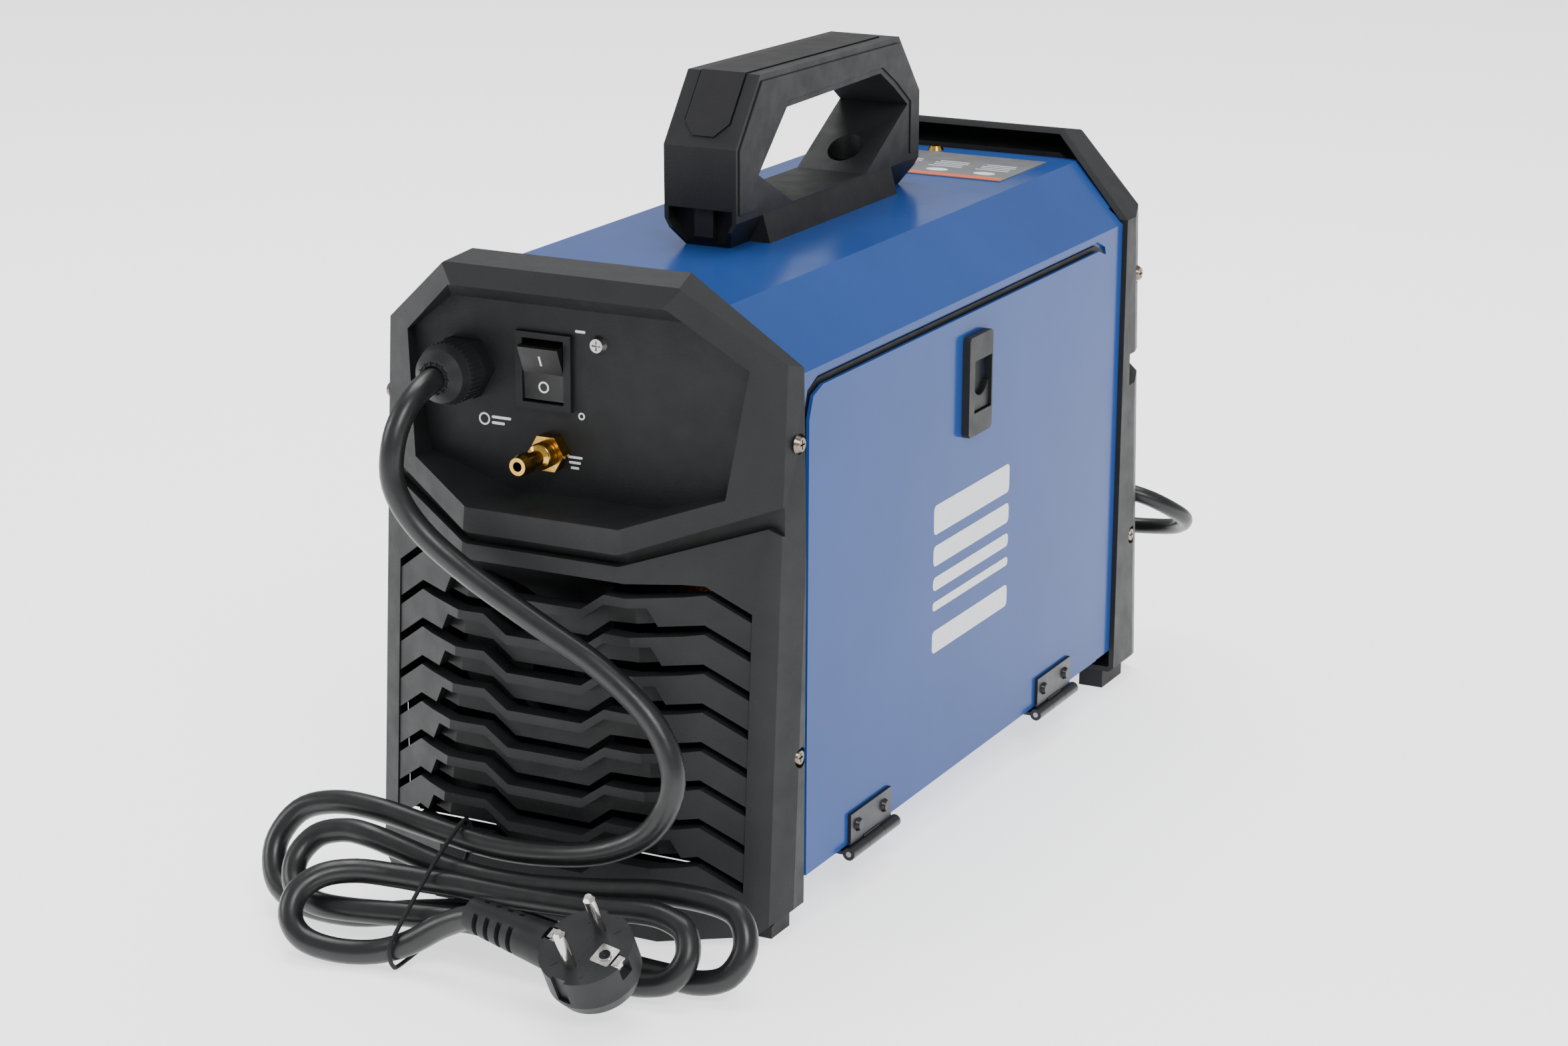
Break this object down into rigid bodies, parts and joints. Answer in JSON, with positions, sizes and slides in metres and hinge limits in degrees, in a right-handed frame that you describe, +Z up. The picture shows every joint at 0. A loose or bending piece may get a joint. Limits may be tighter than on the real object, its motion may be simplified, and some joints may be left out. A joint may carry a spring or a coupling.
{
  "type": "mig welding machine",
  "caption": "Box-shaped wire-feed welding machine with faceted end bezels, louvred rear, hinged side wire bay, top carrying handle and a coiled mains lead.",
  "frame": {"origin": "on the floor under the middle of the case, at the centre of the machine without its leads", "axes": "+Z up, +Y towards the rear panel with the mains switch, +X towards the side without the door"},
  "size_m": [0.2268, 0.5695, 0.326],
  "materials": {
    "blue_paint": "glossy royal blue powder coat",
    "black_plastic": "fine textured black moulding",
    "panel_plastic": "sprayed texture black panel",
    "switch_black": "smooth black rocker",
    "rubber": "soft black rubber",
    "lead_rubber": "satin black cable jacket",
    "zinc": "zinc plated steel",
    "bronze": "bronzed screws",
    "black_zinc": "black zinc screws",
    "chrome": "nickel plated plug pins",
    "brass": "machined brass",
    "label": "printed film label",
    "dark_metal": "dark grey painted metal",
    "aluminium": "extruded aluminium",
    "copper": "copper coated wire and windings",
    "board": "solder mask green",
    "red": "red plastic",
    "window": "dark display window"
  },
  "bodies": {
    "case": {"base_plate": "blue_paint", "case_cover": "blue_paint", "divider_plate": "zinc", "rear_frame": "dark_metal", "front_frame": "dark_metal", "door_frame": "blue_paint", "rear_bezel": "black_plastic", "rear_panel": "panel_plastic", "front_bezel": "black_plastic", "front_panel": "panel_plastic", "feet": "rubber", "fixed_hinge_leaves": "dark_metal", "hinge_pins": "zinc", "handle_body": "black_plastic", "handle_grip": "rubber", "handle_screws": "black_zinc", "switch_housing": "panel_plastic", "gland_body": "black_plastic", "gland_nut": "black_plastic", "gas_barb": "brass", "gas_nut": "brass", "mains_cable": "lead_rubber", "plug_body": "black_plastic", "plug_pins": "chrome", "plug_clips": "chrome", "cord_tie": "black_plastic", "rear_bezel_screws": "bronze", "front_bezel_screws": "bronze", "panel_screw": "zinc", "top_screw": "brass", "top_label": "label", "fan_frame": "black_plastic", "spool_hub": "black_plastic", "spool_nut": "black_plastic", "feed_bracket": "dark_metal", "feed_motor": "dark_metal", "torch_socket": "brass", "torch_collar": "black_plastic", "dinse_plus": "black_plastic", "dinse_minus": "black_plastic", "display_window": "window", "circuit_board": "board", "heatsink": "aluminium", "transformer": "copper", "gas_valve": "brass", "polarity_lead": "lead_rubber", "polarity_plug": "black_plastic"},
    "door": {"side_door": "blue_paint", "door_hinge_leaves": "dark_metal", "hinge_screws": "black_zinc", "latch_bezel": "black_plastic"},
    "latch": {"latch_slider": "black_plastic"},
    "rocker": {"switch_rocker": "switch_black"},
    "fan": {"fan_rotor": "black_plastic"},
    "spool": {"wire_spool": "black_plastic", "weld_wire": "copper"},
    "drive": {"drive_roll": "zinc"},
    "arm": {"pressure_arm": "dark_metal"},
    "idler": {"pressure_roll": "zinc"},
    "tensioner": {"tension_knob": "red"},
    "left_knob": {"knob_left": "black_plastic"},
    "right_knob": {"knob_right": "black_plastic"},
    "left_button": {"button_left": "red"},
    "right_button": {"button_right": "red"}
  },
  "joints": [
    {"name": "door_hinge", "type": "hinge", "parent": "case", "child": "door", "pos_m": [-0.096, 0.0145, 0.018], "axis": [0, -1, 0], "range_deg": [0, 95]},
    {"name": "latch_slide", "type": "slide", "parent": "door", "child": "latch", "axis": [0, 0, 1], "range_m": [0, 0.008]},
    {"name": "power_rocker", "type": "hinge", "parent": "case", "child": "rocker", "pos_m": [0.0167, 0.1836, 0.2212], "axis": [1, 0, 0], "range_deg": [0, 20]},
    {"name": "fan_spin", "type": "hinge", "parent": "case", "child": "fan", "pos_m": [0.047, 0.163, 0.092], "axis": [0, 1, 0], "continuous": true},
    {"name": "spool_spin", "type": "hinge", "parent": "case", "child": "spool", "pos_m": [-0.046, 0.058, 0.128], "axis": [1, 0, 0], "continuous": true},
    {"name": "drive_roll_spin", "type": "hinge", "parent": "case", "child": "drive", "pos_m": [-0.03, -0.076, 0.096], "axis": [1, 0, 0], "continuous": true},
    {"name": "pressure_arm_hinge", "type": "hinge", "parent": "case", "child": "arm", "pos_m": [-0.019, -0.114, 0.122], "axis": [1, 0, 0], "range_deg": [0, 45]},
    {"name": "pressure_roll_spin", "type": "hinge", "parent": "arm", "child": "idler", "pos_m": [-0.03, -0.076, 0.1222], "axis": [1, 0, 0], "continuous": true},
    {"name": "tension_turn", "type": "hinge", "parent": "arm", "child": "tensioner", "pos_m": [-0.03, -0.052, 0.13], "axis": [0, 0, 1], "range_deg": [0, 270]},
    {"name": "left_knob_turn", "type": "hinge", "parent": "case", "child": "left_knob", "pos_m": [-0.042, -0.19, 0.208], "axis": [0, -1, 0], "range_deg": [-135, 135]},
    {"name": "right_knob_turn", "type": "hinge", "parent": "case", "child": "right_knob", "pos_m": [0.042, -0.19, 0.208], "axis": [0, -1, 0], "range_deg": [-135, 135]},
    {"name": "left_button_press", "type": "slide", "parent": "case", "child": "left_button", "axis": [0, 1, 0], "range_m": [0, 0.0015]},
    {"name": "right_button_press", "type": "slide", "parent": "case", "child": "right_button", "axis": [0, 1, 0], "range_m": [0, 0.0015]}
  ]
}
